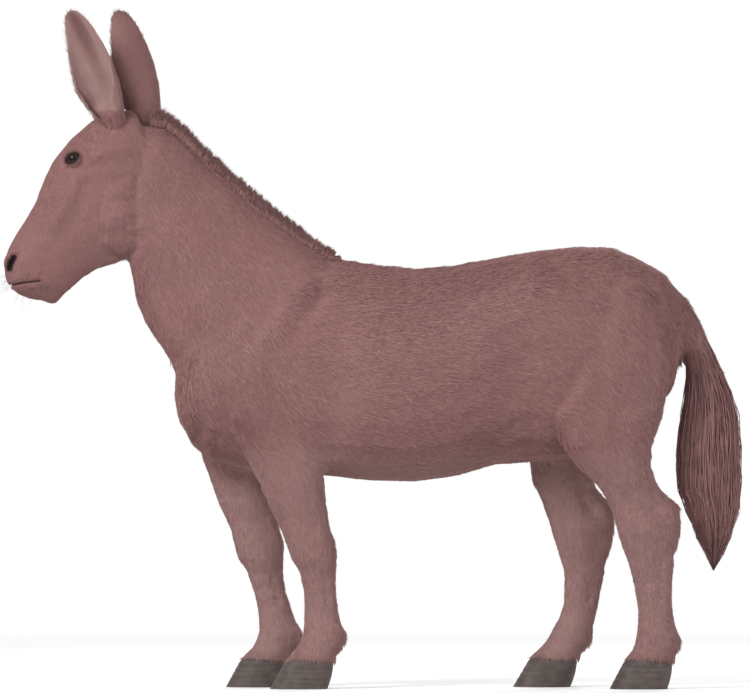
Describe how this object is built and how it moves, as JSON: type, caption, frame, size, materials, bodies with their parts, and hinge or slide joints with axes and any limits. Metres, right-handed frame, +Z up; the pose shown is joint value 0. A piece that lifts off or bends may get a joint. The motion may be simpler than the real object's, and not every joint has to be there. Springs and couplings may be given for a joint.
{
  "type": "standing donkey",
  "caption": "Life-size still donkey standing square on flat hooves, with an upright mane, tall ears and a tasselled tail.",
  "frame": {"origin": "on the floor, under the middle of the outline's box", "axes": "+Z up, the animal faces -X, its left side is -Y"},
  "size_m": [1.843, 0.408, 1.7009],
  "materials": {
    "coat": "short dull hair in one mauve brown",
    "long_hair": "coarse upright mane and tail hair, dull",
    "hoof_horn": "dark horn with growth rings",
    "eye": "wet dark brown eye"
  },
  "bodies": {
    "root": {"head": "coat", "lower_jaw": "coat", "neck": "coat", "trunk": "coat", "fore_left_upper": "coat", "fore_left_cannon": "coat", "fore_left_foot": "coat", "fore_left_hoof": "hoof_horn", "fore_right_upper": "coat", "fore_right_cannon": "coat", "fore_right_foot": "coat", "fore_right_hoof": "hoof_horn", "hind_left_upper": "coat", "hind_left_cannon": "coat", "hind_left_foot": "coat", "hind_left_hoof": "hoof_horn", "hind_right_upper": "coat", "hind_right_cannon": "coat", "hind_right_foot": "coat", "hind_right_hoof": "hoof_horn", "ear_left": "coat", "ear_right": "coat", "eye_left": "eye", "eye_right": "eye", "mane": "long_hair", "tail_dock": "coat", "tail_switch": "long_hair"}
  },
  "joints": []
}
